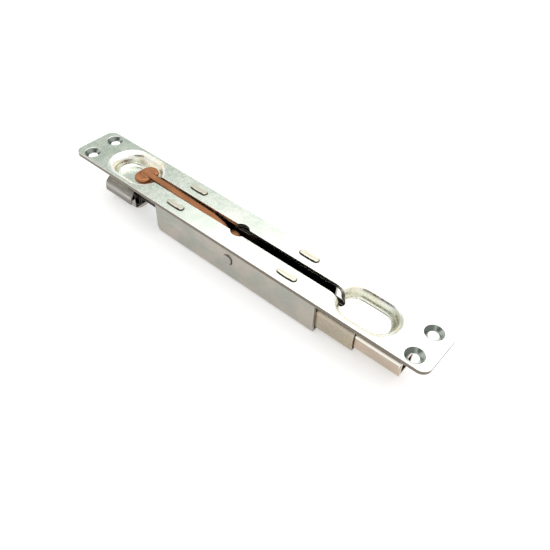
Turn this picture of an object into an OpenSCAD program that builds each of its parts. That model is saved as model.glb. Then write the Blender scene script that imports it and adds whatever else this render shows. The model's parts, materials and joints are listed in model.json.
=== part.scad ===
// Lever-action flush bolt, shown with the bolt drawn back.
// X runs along the faceplate towards the bolt's free end, Y across it and Z out of its face.
// The origin is under the middle of the faceplate, on the underside of the housing.

/* [Faceplate] */
// Length of the faceplate
plate_l = 200; // [194:1:230]
// Width of the faceplate
plate_w = 24; // [24:0.5:30]
// Thickness of the sheet
plate_t = 2; // [1.6:0.1:2.4]
// Radius of the four corners
corner_r = 4; // [2:0.5:7]

/* [Screw holes] */
// Distance from the middle of a hole to the end of the plate
hole_inset = 7.8; // [7:0.1:8.6]
// Distance from the middle of a hole to the side of the plate
hole_side = 5; // [4.5:0.1:6]
// Diameter of a screw hole
hole_d = 4.4; // [3:0.1:5]
// Diameter of a countersink at the face
sink_d = 8; // [6.5:0.1:8.4]

/* [Finger recesses] */
// Distance from the lever's tip to the middle of a recess
recess_lead = 4.35; // [4:0.05:4.6]
// Length of a recess between its upright walls
recess_l = 24.1; // [23.5:0.1:24.5]
// Width of a recess between its upright walls
recess_w = 14.4; // [14:0.1:14.8]
// Depth of a recess
recess_d = 6; // [5.9:0.1:6.4]
// Radius of the rolled rim
rim_r = 4.2; // [3:0.1:4.2]
// Radius between the wall and the floor of a recess
floor_r = 1.7; // [1.2:0.1:1.7]

/* [Lever slot] */
// Width of the slot
slot_w = 4.8; // [4.2:0.1:5]
// Distance from the middle of a recess to the end of the slot
slot_back = 10.25; // [10:0.05:10.3]
// Diameter of the round widening over the pivot
notch_d = 8.4; // [8.2:0.1:9]

/* [Housing] */
// Width over the side walls
housing_w = 16.4; // [16:0.1:17]
// Thickness of the sheet
housing_t = 1.6; // [1.3:0.1:1.8]
// Depth from the back of the faceplate to the underside
housing_h = 21.9; // [21.4:0.1:24]
// Distance from the middle of the rear recess to the end of the housing
heel_back = 20.25; // [20:0.25:22]
// Distance from the middle of the front recess to the end of the housing
toe_back = 18.75; // [18.5:0.25:20]
// Outer radius of the two folds
housing_r = 2.6; // [2:0.1:3]
// Radius of the lower corner at the lever head's end, seen from the side
heel_r = 5; // [2:0.5:7]
// Length of a riveting tab in its slot
tab_l = 8.5; // [6:0.5:10]
// Distance from the middle of a recess to the middle of the nearer tabs
tab_back = 34.25; // [33:0.25:38]
// Height of the peened end of a tab over the face
tab_proud = 0.7; // [0.4:0.1:0.9]
// Width that the peened end of a tab spreads by on every side
tab_spread = 0.6; // [0.4:0.1:0.8]
// Gap round a tab in its slot
tab_gap = 0.2; // [0.1:0.1:0.3]

/* [Front guide] */
// Thickness of the sheet
guide_t = 1.1; // [0.9:0.1:1.3]
// Gap between the guide's inner end and the drive plates at the end of their stroke
guide_gap = 4.2; // [3:0.1:6]
// Distance from the middle of the front recess back to the guide's open end
guide_back = 0.25; // [-2:0.25:2]
// Outer radius of the folds
guide_r = 2.8; // [2:0.1:3]
// Gap between the folded lips over the bolt
lip_gap = 5; // [4.6:0.1:6]
// Gap between the lips and the back of the recess
lip_drop = 1.8; // [0.8:0.1:2]

/* [Bolt] */
// Running gap between the bolt and the guide's walls
bolt_gap = 0.3; // [0.1:0.05:0.4]
// Running gap between the bolt and the guide's floor
sole_gap = 0.2; // [0.1:0.05:0.4]
// Running gap between the bolt and the lips of the guide
lip_play = 0.6; // [0.2:0.1:0.8]
// Thickness of the bolt's wall
bolt_t = 1.6; // [1.3:0.1:1.7]
// Outer radius of the bolt's long edges, as a share of its height
bolt_round = 0.25; // [0.22:0.01:0.27]
// Distance that the bolt's inner end stands out of the guide, drawn back
bolt_back = 2; // [1:0.5:3]
// Distance from the middle to the bolt's free end, drawn back
bolt_right = 88; // [85:0.5:92]
// Rounding at the free end
nose_r = 1; // [0.5:0.1:1.4]

/* [Lever] */
// Thickness of the lever at the pivot
lever_t = 3; // [2.6:0.1:3.2]
// Depth of the blade
blade_h = 4.2; // [3.4:0.1:4.4]
// Distance from the middle to the tip of the blade
lever_reach = 62.4; // [61.5:0.1:63]
// Width of the head across the blade
head_w = 12.4; // [11:0.1:13]
// Length of the head along the blade
head_l = 8.6; // [7.5:0.1:8.8]
// Thickness of the head
head_t = 2.6; // [1.8:0.1:2.8]
// Distance that the head runs on past the blade's tip
head_lead = 2.5; // [1:0.1:3]

/* [Pivot and crank] */
// Depth of the pivot below the face
pivot_depth = 12; // [11.9:0.1:12.5]
// Diameter of the pivot pin
pivot_d = 5; // [4:0.1:5.4]
// Height of the riveted pin ends over the housing
pivot_proud = 0.8; // [0.3:0.1:1]
// Distance from the pivot to the crank pin
crank_r = 8.4; // [8:0.1:8.4]
// Diameter of the crank pin
crank_d = 3.2; // [2.6:0.1:3.2]
// Angle that the lever swings through
swing = 161; // [150:1:161]

/* [Drive plates] */
// Thickness of each plate
drive_t = 1.4; // [1.2:0.1:1.5]
// Height of the neck that runs to the rear socket
neck_h = 4.7; // [4:0.1:4.8]
// Diameter of the rivets through the plates
rivet_d = 3; // [2.4:0.1:3.2]
// Distance between the two rivets in the bolt
rivet_dx = 8; // [7:0.5:9]
// Distance from a rivet to the end of what it holds
arm_wall = 4; // [3.5:0.5:5]

/* [Rear socket] */
// Width over the outer shell
tail_w = 16; // [15.6:0.1:16.4]
// Distance from the middle to the socket's closed side
tail_left = 85; // [84:0.5:86]
// Length of the socket
tail_l = 19; // [18:0.5:20]
// Thickness of the outer shell
tail_t = 1.1; // [0.9:0.1:1.2]
// Thickness of the saddle in it
saddle_t = 1.9; // [1.4:0.1:2]
// Outer radius of the saddle's two lower corners, as a share of the socket's height
saddle_round = 0.49; // [0.42:0.01:0.52]
// Outer radius of the shell's long edges, as a share of the socket's height
tail_round = 0.41; // [0.3:0.01:0.44]
// Gap between the socket's top and the back of the recess
tail_drop = 3.3; // [2.6:0.1:4]
// Distance that the socket clears what the housing rests on
tail_lift = 0.4; // [0.2:0.1:0.8]
// Distance that the shell's open edges hang below the edges of the saddle
tail_lap = 2.2; // [1.5:0.1:2.8]

/* [Hidden] */
$fn = 64;

// Small running gap between faces that slide on each other
slide_gap = 0.2;
// Gap that keeps moving pieces off each other
free_gap = 0.3;
// Radial clearance of the lever on the pivot pin
turn_gap = 0.05;
// Overshoot of a cut beyond the face that it opens
over = 1;
// Distance of the blocks from the ends of what holds them
arm_inset = 1;

// Places along the plate, from its middle
recess_x = lever_reach + recess_lead;
slot_end = recess_x - slot_back;
housing_left = recess_x - heel_back;
housing_right = recess_x - toe_back;
tab_x = recess_x - tab_back;
hole_dx = plate_l - 2 * hole_inset;
hole_dy = plate_w - 2 * hole_side;

// Heights, from the underside of the housing up
face_z = housing_h + plate_t;
back_z = housing_h;
pivot_z = face_z - pivot_depth;
recess_back_z = face_z - recess_d - plate_t;
guide_floor_z = housing_t + guide_t;
guide_top_z = recess_back_z - lip_drop;
bolt_z = guide_floor_z + sole_gap;
bolt_top_z = guide_top_z - guide_t - lip_play;
bolt_h = bolt_top_z - bolt_z;
// The inner corners keep a small radius where the bolt is low
least_r = 0.1;
bolt_r = max(bolt_round * bolt_h, bolt_t + least_r);

// Half widths, from the middle outwards
housing_in = housing_w / 2 - housing_t;
guide_in = housing_in - guide_t;
bolt_half = guide_in - bolt_gap;
drive_out = bolt_half - bolt_t;
drive_in = drive_out - drive_t;
lever_half = lever_t / 2;
// The blade clears both the drive plates and the sides of the slot
blade_half = min(drive_in, slot_w / 2) - free_gap;

// Stroke of the crank between the lever's two ends of travel
crank_rest = (180 - swing) / 2;
stroke = 2 * crank_r * cos(crank_rest);
crank_x = -crank_r * cos(crank_rest);
crank_z = pivot_z + crank_r * sin(crank_rest);
// Share of the crank radius by which an even slide runs ahead of or behind the crank
fork_slack = 0.158 * crank_r;

// The middle part of the drive plates, round the slot that runs over the pivot pin
web_wall = 4.4;
web_left = crank_x - stroke / 2 - pivot_d / 2 - free_gap - web_wall;
web_right = pivot_d / 2 + free_gap + web_wall;
guide_left = web_right + stroke + guide_gap;
guide_right = recess_x - guide_back;
bolt_left = guide_left - bolt_back;

// A bar along X that has the shape of its children in Y and Z
module along_x(x0, x1) {
    translate([x0, 0, 0])
        rotate([90, 0, 90])
            linear_extrude(height = x1 - x0)
                children();
}

// A plate across Y that has the shape of its children in X and Z
module across_y(y0, y1) {
    translate([0, y1, 0])
        rotate([90, 0, 0])
            linear_extrude(height = y1 - y0)
                children();
}

// A round rod across Y
module rod_y(d, y0, y1) {
    translate([0, y0, 0])
        rotate([-90, 0, 0])
            cylinder(d = d, h = y1 - y0);
}

// A rectangle with round corners, given by its lower left corner and its size
module round_rect(x, y, w, h, r) {
    translate([x + r, y]) square([w - 2 * r, h]);
    translate([x, y + r]) square([w, h - 2 * r]);
    for (px = [x + r, x + w - r], py = [y + r, y + h - r])
        translate([px, py]) circle(r = r);
}

// A slot with round ends along the first axis
module slot_2d(x0, x1, y, d) {
    translate([x0, y - d / 2]) square([x1 - x0, d]);
    translate([x0, y]) circle(d = d);
    translate([x1, y]) circle(d = d);
}

// A solid that sweeps the profile of its children round an obround spine along X
module obround_sweep(half_spine) {
    translate([half_spine, 0, 0])
        rotate([0, 0, -90])
            rotate_extrude(angle = 180) children();
    translate([-half_spine, 0, 0])
        rotate([0, 0, 90])
            rotate_extrude(angle = 180) children();
    for (side = [0, 1])
        mirror([0, side, 0])
            along_x(-half_spine, half_spine) children();
}

recess_wall_r = recess_w / 2;
recess_r = recess_wall_r + rim_r;
recess_spine = (recess_l - recess_w) / 2;

// Half section of the hollow of a recess, with the face at height 0
module recess_hollow_2d() {
    flat_r = recess_wall_r - floor_r;
    translate([0, floor_r - recess_d]) square([recess_wall_r, recess_d - floor_r + over]);
    translate([0, -recess_d]) square([flat_r, recess_d]);
    intersection() {
        translate([flat_r, floor_r - recess_d]) circle(r = floor_r);
        translate([0, -recess_d]) square([recess_wall_r, recess_d]);
    }
    difference() {
        translate([recess_wall_r - over, -rim_r]) square([rim_r + over, rim_r + over]);
        translate([recess_r, -rim_r]) circle(r = rim_r);
        translate([recess_r, -over]) square([over, 3 * over]);
    }
}

// Half section of a recess with its sheet, out to where the rolled rim meets the flat plate
module recess_outer_2d() {
    flat_r = recess_wall_r - floor_r;
    out_r = recess_wall_r + plate_t;
    translate([0, floor_r - recess_d]) square([out_r, recess_d - floor_r - plate_t / 2]);
    translate([0, -recess_d - plate_t]) square([flat_r, recess_d]);
    intersection() {
        translate([flat_r, floor_r - recess_d]) circle(r = floor_r + plate_t);
        translate([0, -recess_d - plate_t]) square([out_r, recess_d]);
    }
    difference() {
        translate([out_r - over, -rim_r]) square([rim_r - plate_t + over, rim_r - plate_t / 2]);
        translate([recess_r, -rim_r]) circle(r = rim_r - plate_t);
    }
}

// Stamped plate with two dished finger recesses, the lever slot and four countersunk holes
module faceplate() {
    color([0.80, 0.82, 0.80])
        difference() {
            union() {
                translate([0, 0, back_z])
                    linear_extrude(height = plate_t)
                        round_rect(-plate_l / 2, -plate_w / 2, plate_l, plate_w, corner_r);
                for (side = [-1, 1])
                    translate([side * recess_x, 0, face_z])
                        obround_sweep(recess_spine) recess_outer_2d();
            }
            for (side = [-1, 1])
                translate([side * recess_x, 0, face_z])
                    obround_sweep(recess_spine) recess_hollow_2d();
            translate([0, 0, recess_back_z - over])
                linear_extrude(height = face_z - recess_back_z + 2 * over) {
                    slot_2d(slot_w / 2 - slot_end, slot_end - slot_w / 2, 0, slot_w);
                    circle(d = notch_d);
                }
            for (x = [-tab_x, tab_x], side = [-1, 1])
                translate([x - tab_l / 2 - tab_gap, side * (housing_w - housing_t) / 2
                           - housing_t / 2 - tab_gap, back_z - over])
                    cube([tab_l + 2 * tab_gap, housing_t + 2 * tab_gap, plate_t + 2 * over]);
            for (x = [-hole_dx / 2, hole_dx / 2], y = [-hole_dy / 2, hole_dy / 2])
                translate([x, y, 0]) screw_hole();
        }
}

// A screw hole with its countersink
module screw_hole() {
    sink_depth = (sink_d - hole_d) / 2;
    translate([0, 0, back_z - over]) cylinder(d = hole_d, h = plate_t + 2 * over);
    translate([0, 0, face_z - sink_depth]) cylinder(d1 = hole_d, d2 = sink_d, h = sink_depth);
    translate([0, 0, face_z]) cylinder(d = sink_d, h = over);
}

// Side outline of the housing, with the rounded heel
module housing_side_2d() {
    translate([-housing_left, heel_r])
        square([housing_left + housing_right, back_z - heel_r]);
    translate([heel_r - housing_left, 0])
        square([housing_left + housing_right - heel_r, heel_r + over]);
    translate([heel_r - housing_left, heel_r]) circle(r = heel_r);
}

// Folded channel that hangs under the faceplate on four riveted tabs
module housing() {
    half = housing_w / 2;
    color([0.74, 0.71, 0.68])
        difference() {
            union() {
                intersection() {
                    along_x(-housing_left, housing_right)
                        difference() {
                            union() {
                                round_rect(-half, 0, housing_w, back_z, housing_r);
                                translate([-half, back_z / 2]) square([housing_w, back_z / 2]);
                            }
                            round_rect(-housing_in, housing_t, 2 * housing_in, 2 * back_z,
                                       housing_r - housing_t);
                        }
                    across_y(-half, half) housing_side_2d();
                }
                for (x = [-tab_x, tab_x], side = [0, 1])
                    mirror([0, side, 0]) tab(x);
            }
            translate([0, 0, pivot_z]) rod_y(pivot_d, -half - over, half + over);
            for (x = guide_rivet_x)
                translate([x, 0, -over]) cylinder(d = rivet_d, h = housing_t + 2 * over);
        }
}

// One riveting tab, whose end is peened over the face
module tab(x) {
    end_w = housing_t + 2 * tab_spread;
    end_l = tab_l + 2 * tab_spread;
    dome_share = 0.8;
    top_r = tab_proud * dome_share;
    along_x(x - tab_l / 2, x + tab_l / 2)
        translate([housing_in, back_z - over])
            square([housing_t, plate_t + over + tab_proud - top_r]);
    translate([x, housing_in + housing_t / 2, 0])
        intersection() {
            along_x(-end_l / 2, end_l / 2)
                domed_2d(end_w, top_r);
            across_y(-end_w, end_w)
                domed_2d(end_l, top_r);
        }
}

// A low bar on the face whose upper corners are round
module domed_2d(w, r) {
    translate([-w / 2, face_z]) square([w, tab_proud - r]);
    translate([r - w / 2, face_z]) square([w - 2 * r, tab_proud]);
    intersection() {
        for (x = [r - w / 2, w / 2 - r])
            translate([x, face_z + tab_proud - r]) circle(r = r);
        translate([-w / 2, face_z]) square([w, tab_proud]);
    }
}

// The rivets sit at these shares of the length by which the guide runs in the housing
lap_shares = [0.3, 0.75];
guide_lap = housing_right - guide_left;
guide_rivet_x = [for (share = lap_shares) guide_left + share * guide_lap];

// Folded channel, nested in the housing, that carries the bolt under the front recess
module front_guide() {
    color([0.76, 0.72, 0.67])
        difference() {
            along_x(guide_left, guide_right)
                difference() {
                    round_rect(-housing_in, housing_t, 2 * housing_in, guide_top_z - housing_t,
                               guide_r);
                    round_rect(-guide_in, guide_floor_z, 2 * guide_in,
                               guide_top_z - guide_t - guide_floor_z, guide_r - guide_t);
                    translate([-lip_gap / 2, guide_top_z - guide_t - over])
                        square([lip_gap, guide_t + 2 * over]);
                }
            for (x = guide_rivet_x)
                translate([x, 0, 0]) cylinder(d = rivet_d, h = guide_floor_z + over);
        }
}

// Flush rivets that hold the guide to the floor of the housing
module guide_rivets() {
    color([0.72, 0.72, 0.72])
        for (x = guide_rivet_x)
            translate([x, 0, 0]) cylinder(d = rivet_d, h = guide_floor_z);
}

// Pin through both side walls, riveted over outside
module pivot_pin() {
    half = housing_w / 2;
    edge_r = pivot_proud / 2;
    color([0.72, 0.71, 0.70])
        translate([0, 0, pivot_z])
            rotate([-90, 0, 0])
                translate([0, 0, -half - pivot_proud])
                    rotate_extrude()
                        intersection() {
                            round_rect(-pivot_d / 2, 0, pivot_d, 2 * (half + pivot_proud), edge_r);
                            square([pivot_d, 2 * (half + pivot_proud)]);
                        }
}

// Diameter of the spacers and washers on the pivot pin
spacer_wall = 2;
spacer_d = pivot_d + 2 * spacer_wall;

// Two spacers on the pivot pin that keep the drive plates in the middle of the housing
module pivot_spacers() {
    color([0.70, 0.70, 0.70])
        for (side = [0, 1])
            mirror([0, side, 0])
                translate([0, 0, pivot_z])
                    difference() {
                        rod_y(spacer_d, drive_out + slide_gap, housing_in);
                        rod_y(pivot_d, drive_out + slide_gap - over, housing_in + over);
                    }
}

// Where the blade starts, and how far its top edge rises over the face and falls below it
blade_x = -17;
blade_rise = 0.3;
blade_fall = 1.3;
blade_tip_z = face_z + blade_rise;
blade_root_z = face_z - blade_fall;
// Metal round the pivot hole and round the crank pin
hub_wall = 2.7;
eye_wall = 2.6;
hub_r = pivot_d / 2 + hub_wall;
crank_eye_r = crank_d / 2 + eye_wall;
// The hump over the pivot: its place, its radius and the height of its middle over the pivot
hump_x = -3.65;
hump_r = 4.2;
hump_rise = 4.1;
hump_z = pivot_z + hump_rise;
// The shoulder between the blade and the hump, and the overlap of the root with the blade
shoulder_x = -10.4;
shoulder_fall = 2.7;
root_lap = 2;
root_fall = 0.6;

// Side outline of the lever's root, with the pivot eye, the crank eye and the shoulder
module lever_root_2d() {
    translate([0, pivot_z]) circle(r = hub_r);
    translate([crank_x, crank_z]) circle(r = crank_eye_r);
    translate([hump_x, hump_z]) circle(r = hump_r);
    polygon([
        [blade_x - root_lap, blade_root_z - root_fall], [blade_x, blade_root_z],
        [shoulder_x, face_z - shoulder_fall], [hump_x - hump_r * 0.8, hump_z + hump_r * 0.7],
        [hump_x, hump_z + hump_r * 0.9], [0, hump_z],
        [hub_r * 0.9, pivot_z + hub_r * 0.4], [0, pivot_z - hub_r],
        [crank_x, crank_z - crank_eye_r], [crank_x - crank_eye_r, crank_z],
        [blade_x + root_lap, blade_root_z - blade_h - root_fall],
        [blade_x, blade_root_z - blade_h],
        [blade_x - root_lap, blade_root_z - blade_h + root_fall]
    ]);
}

// Angle of the blade to the faceplate and its length
blade_angle = atan((blade_tip_z - blade_root_z) / (lever_reach + blade_x));
blade_l = (lever_reach + blade_x) / cos(blade_angle);
blade_edge_r = 0.9;
head_x = head_l / 2 - lever_reach - head_lead;
head_sink = 0.5;
head_top_z = face_z - head_sink;

// The hand lever: a straight blade with a head set across it, bent down to the pivot
module lever() {
    color([0.72, 0.47, 0.31])
        difference() {
            union() {
                across_y(-lever_half, lever_half) lever_root_2d();
                translate([blade_x, 0, blade_root_z])
                    rotate([0, blade_angle, 0])
                        along_x(-blade_l, 0)
                            round_rect(-blade_half, -blade_h, 2 * blade_half, blade_h, blade_edge_r);
                translate([head_x, 0, head_top_z - head_t])
                    rotate([0, 0, 90])
                        obround_sweep((head_w - head_l) / 2) head_half_2d();
            }
            translate([0, 0, pivot_z])
                rod_y(pivot_d + 2 * turn_gap, -lever_half - over, lever_half + over);
            translate([crank_x, 0, crank_z])
                rod_y(crank_d, -lever_half - over, lever_half + over);
        }
}

// Half section of the head's round ends, with rounded edges
module head_half_2d() {
    edge_share = 0.45;
    edge_r = head_t * edge_share;
    square([head_l / 2 - edge_r, head_t]);
    translate([0, edge_r]) square([head_l / 2, head_t - 2 * edge_r]);
    for (z = [edge_r, head_t - edge_r])
        translate([head_l / 2 - edge_r, z]) circle(r = edge_r);
}

// Thin washers between the lever and the drive plates
module lever_washers() {
    color([0.66, 0.66, 0.66])
        for (side = [0, 1])
            mirror([0, side, 0])
                translate([0, 0, pivot_z])
                    difference() {
                        rod_y(spacer_d, lever_half, drive_in - slide_gap);
                        rod_y(pivot_d + 2 * turn_gap, lever_half - over, drive_in + over);
                    }
}

// Crank pin, pressed into the lever, that runs in the forks of the drive plates
module crank_pin() {
    color([0.70, 0.70, 0.70])
        translate([crank_x, 0, crank_z]) rod_y(crank_d, -drive_out, drive_out);
}

// The arms of the drive plates lie where the bolt's inner sides are flat
arm_z0 = bolt_z + bolt_r;
arm_z1 = bolt_top_z - bolt_r;
arm_share = 0.85;
bolt_rivet_d = min(rivet_d, arm_share * (arm_z1 - arm_z0));
bolt_rivet_x = [bolt_left + arm_inset + arm_wall, bolt_left + arm_inset + arm_wall + rivet_dx];
bolt_rivet_z = bolt_z + bolt_h / 2;
arm_end = bolt_rivet_x[1] + arm_wall;

// Outer section of the bolt
module bolt_outer_2d() {
    round_rect(-bolt_half, bolt_z, 2 * bolt_half, bolt_h, bolt_r);
}

// Hollow bolt, rounded over at its free end
module bolt() {
    color([0.75, 0.69, 0.62])
        difference() {
            intersection() {
                along_x(bolt_left, bolt_right) bolt_outer_2d();
                across_y(-plate_w, plate_w) {
                    translate([bolt_left, bolt_z]) square([bolt_right - bolt_left - nose_r, bolt_h]);
                    translate([bolt_left, bolt_z + nose_r])
                        square([bolt_right - bolt_left, bolt_h - 2 * nose_r]);
                    for (z = [bolt_z + nose_r, bolt_top_z - nose_r])
                        translate([bolt_right - nose_r, z]) circle(r = nose_r);
                }
                linear_extrude(height = face_z) {
                    translate([bolt_left, -bolt_half])
                        square([bolt_right - bolt_left - nose_r, 2 * bolt_half]);
                    translate([bolt_left, nose_r - bolt_half])
                        square([bolt_right - bolt_left, 2 * (bolt_half - nose_r)]);
                    for (y = [nose_r - bolt_half, bolt_half - nose_r])
                        translate([bolt_right - nose_r, y]) circle(r = nose_r);
                }
            }
            along_x(bolt_left - over, bolt_right + over)
                round_rect(-drive_out, bolt_z + bolt_t, 2 * drive_out, bolt_h - 2 * bolt_t,
                           bolt_r - bolt_t);
            for (x = bolt_rivet_x)
                translate([x, 0, bolt_rivet_z])
                    rod_y(bolt_rivet_d, -bolt_half - over, bolt_half + over);
        }
}

// Block between the drive plates inside the bolt
module bolt_block() {
    color([0.68, 0.68, 0.68])
        difference() {
            along_x(bolt_left + arm_inset, arm_end)
                translate([-drive_in, arm_z0]) square([2 * drive_in, arm_z1 - arm_z0]);
            for (x = bolt_rivet_x)
                translate([x, 0, bolt_rivet_z])
                    rod_y(bolt_rivet_d, -drive_in - over, drive_in + over);
        }
}

// Flush rivets through the bolt, the drive plates and the block
module bolt_rivets() {
    color([0.73, 0.70, 0.66])
        for (x = bolt_rivet_x)
            translate([x, 0, bolt_rivet_z]) rod_y(bolt_rivet_d, -bolt_half, bolt_half);
}

// The rear socket: a round saddle in a folded shell
tail_z = tail_lift;
tail_top_z = recess_back_z - tail_drop;
tail_h = tail_top_z - tail_z;
saddle_half = tail_w / 2 - tail_t;
tail_r = min(tail_round * tail_h, saddle_half);
saddle_r = min(saddle_round * tail_h, saddle_half - least_r);
saddle_top_z = tail_top_z - tail_r;
tail_right = tail_left - tail_l;
tail_roof_z = tail_top_z - tail_t;
saddle_in_r = saddle_r - saddle_t;
// Heights between which the drive plates clear the socket's round inner corners
corner_out = drive_out - saddle_half + saddle_r;
tail_floor_z = tail_z + saddle_r - sqrt(pow(saddle_in_r, 2) - pow(corner_out, 2)) + slide_gap;
tail_ceiling_z = tail_roof_z - free_gap;

// Where the rivets of the rear socket and the spacer of the neck sit
tail_pin_inset = 3.5;
tail_pin_x = [tail_pin_inset - tail_left, tail_l - tail_pin_inset - tail_left];
tail_pin_z = (tail_floor_z + tail_ceiling_z) / 2;
neck_rise = 1.6;
neck_top_z = pivot_z + neck_rise;
neck_z = neck_top_z - neck_h;
neck_mid_z = neck_top_z - neck_h / 2;
spacer_lead = 6;
spacer_x = web_left - spacer_lead;
fork_half = crank_d / 2 + fork_slack + free_gap;
fork_top_z = back_z - free_gap;
web_gap = 1.8;
web_z = housing_t + web_gap;
prong_r = 2.5;

// Side outline of both drive plates, with the open fork and the slot over the pivot pin
module drive_plate_2d() {
    pivot_slot_d = pivot_d + 2 * free_gap;
    difference() {
        union() {
            round_rect(web_left, web_z, web_right - web_left, fork_top_z - web_z, prong_r);
            translate([web_right - prong_r - over, arm_z0])
                square([arm_end - web_right + prong_r + over, arm_z1 - arm_z0]);
            translate([-tail_right + free_gap, neck_z])
                square([web_left + prong_r + over + tail_right - free_gap, neck_h]);
            translate([arm_inset - tail_left, tail_floor_z])
                square([tail_l - arm_inset + free_gap + over, tail_ceiling_z - tail_floor_z]);
        }
        slot_2d(-stroke, 0, pivot_z, pivot_slot_d);
        translate([crank_x - fork_half, pivot_z]) square([2 * fork_half, back_z]);
        translate([spacer_x, neck_mid_z]) circle(d = rivet_d / 2);
        for (x = bolt_rivet_x)
            translate([x, bolt_rivet_z]) circle(d = bolt_rivet_d);
        for (x = tail_pin_x)
            translate([x, tail_pin_z]) circle(d = rivet_d);
    }
}

// The drive plate on the near side of the lever
module drive_plate_near() {
    color([0.66, 0.67, 0.66]) across_y(-drive_out, -drive_in) drive_plate_2d();
}

// The drive plate on the far side of the lever
module drive_plate_far() {
    color([0.66, 0.67, 0.66]) across_y(drive_in, drive_out) drive_plate_2d();
}

// Shouldered spacer that keeps the two necks apart
module drive_spacer() {
    color([0.70, 0.70, 0.70])
        translate([spacer_x, 0, neck_mid_z]) {
            rod_y(rivet_d, -drive_in, drive_in);
            rod_y(rivet_d / 2, -drive_out, drive_out);
        }
}

// Upper half of the rear socket: a shell folded over the saddle
module tail_shell() {
    half = tail_w / 2;
    color([0.73, 0.70, 0.66])
        difference() {
            along_x(-tail_left, -tail_right)
                difference() {
                    round_rect(-half, tail_z, tail_w, tail_h, tail_r);
                    round_rect(tail_t - half, tail_z - tail_h, tail_w - 2 * tail_t,
                               2 * tail_h - tail_t, tail_r - tail_t);
                    translate([-half - over, tail_z - over])
                        square([tail_w + 2 * over, saddle_top_z - tail_lap - tail_z + over]);
                }
            tail_rivet_hole();
        }
}

// Section of the saddle's outside, or of its inside when the wall is taken off
module saddle_2d(wall) {
    half = saddle_half - wall;
    round_rect(-half, tail_z + wall, 2 * half, 2 * tail_h, saddle_r - wall);
}

// Lower half of the rear socket: a deep round channel nested in the shell
module tail_saddle() {
    color([0.76, 0.73, 0.69])
        difference() {
            along_x(-tail_left, -tail_right)
                difference() {
                    saddle_2d(0);
                    saddle_2d(saddle_t);
                    translate([-tail_w / 2, saddle_top_z]) square([tail_w, 2 * tail_h]);
                }
            tail_rivet_hole();
        }
}

// Block between the drive plates that the shell and the saddle are riveted to
module tail_block() {
    color([0.68, 0.68, 0.68])
        difference() {
            along_x(arm_inset - tail_left, tail_pin_x[1] + rivet_d)
                intersection() {
                    translate([-drive_in, tail_z])
                        square([2 * drive_in, tail_roof_z - tail_z]);
                    saddle_2d(saddle_t);
                }
            for (x = tail_pin_x)
                translate([x, 0, tail_pin_z]) rod_y(rivet_d, -drive_in - over, drive_in + over);
            tail_rivet_hole();
        }
}

tail_mid_x = -tail_left + tail_l / 2;
// Distance that rivet heads stand out beyond the shank, and their height
head_rim = 0.9;
rivet_head_h = 0.8;

// Bore for the upright rivet of the rear socket
module tail_rivet_hole() {
    translate([tail_mid_x, 0, tail_z - over]) cylinder(d = rivet_d, h = tail_h + 2 * over);
}

// Rivets through the drive plates and the block
module tail_pins() {
    color([0.70, 0.70, 0.70])
        for (x = tail_pin_x)
            translate([x, 0, tail_pin_z]) {
                rod_y(rivet_d, -drive_out, drive_out);
                rod_y(rivet_d + 2 * head_rim, -drive_out - rivet_head_h, -drive_out);
                rod_y(rivet_d + 2 * head_rim, drive_out, drive_out + rivet_head_h);
            }
}

// Upright rivet, flush below and headed above
module tail_rivet() {
    color([0.72, 0.70, 0.67])
        translate([tail_mid_x, 0, 0]) {
            translate([0, 0, tail_z]) cylinder(d = rivet_d, h = tail_h);
            translate([0, 0, tail_top_z]) cylinder(d = rivet_d + 2 * head_rim, h = rivet_head_h);
        }
}

faceplate();
housing();
front_guide();
guide_rivets();
pivot_pin();
pivot_spacers();
lever();
lever_washers();
crank_pin();
bolt();
bolt_block();
bolt_rivets();
drive_plate_near();
drive_plate_far();
drive_spacer();
tail_shell();
tail_saddle();
tail_block();
tail_pins();
tail_rivet();
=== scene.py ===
"""Finishes and lights a lever-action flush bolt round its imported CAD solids.

Lengths are in metres in the frame that the solids share. X runs along the faceplate
towards the bolt's free end, Y across it and Z out of its face, and the underside of
the housing lies at height zero. Sizes that a maker would read are given in mm.
"""

import json
import logging
import math
from dataclasses import dataclass, field
from enum import Enum
from typing import Dict, List, Optional, Tuple, Union

import bmesh
import bpy
from mathutils import Matrix, Vector

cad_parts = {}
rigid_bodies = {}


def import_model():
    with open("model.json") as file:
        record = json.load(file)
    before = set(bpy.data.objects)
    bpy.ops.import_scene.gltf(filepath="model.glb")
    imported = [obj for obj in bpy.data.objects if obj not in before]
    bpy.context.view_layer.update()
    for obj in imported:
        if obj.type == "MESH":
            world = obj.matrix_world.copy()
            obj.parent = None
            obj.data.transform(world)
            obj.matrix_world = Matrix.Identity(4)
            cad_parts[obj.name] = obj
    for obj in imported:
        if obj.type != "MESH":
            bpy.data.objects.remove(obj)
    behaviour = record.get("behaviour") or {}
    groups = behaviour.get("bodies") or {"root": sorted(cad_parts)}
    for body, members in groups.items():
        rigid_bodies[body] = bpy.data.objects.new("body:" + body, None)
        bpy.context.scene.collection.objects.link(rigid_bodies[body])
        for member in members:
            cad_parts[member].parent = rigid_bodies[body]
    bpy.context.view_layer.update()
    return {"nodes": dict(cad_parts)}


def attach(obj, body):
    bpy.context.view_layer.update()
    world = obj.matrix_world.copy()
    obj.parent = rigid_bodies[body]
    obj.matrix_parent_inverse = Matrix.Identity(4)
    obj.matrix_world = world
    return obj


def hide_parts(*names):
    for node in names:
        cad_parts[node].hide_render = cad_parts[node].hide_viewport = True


LOG = logging.getLogger("flush_bolt")
MM = 0.001
TAB_PLACE = (32.5, 7.4)  # Middle of a riveting tab in mm, mirrored about both axes
SMOOTH_UP_TO = math.radians(34.0)

Colour = Tuple[float, float, float, float]
Socket = bpy.types.NodeSocket
Value = Union[float, Tuple[float, ...], Socket]


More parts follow.
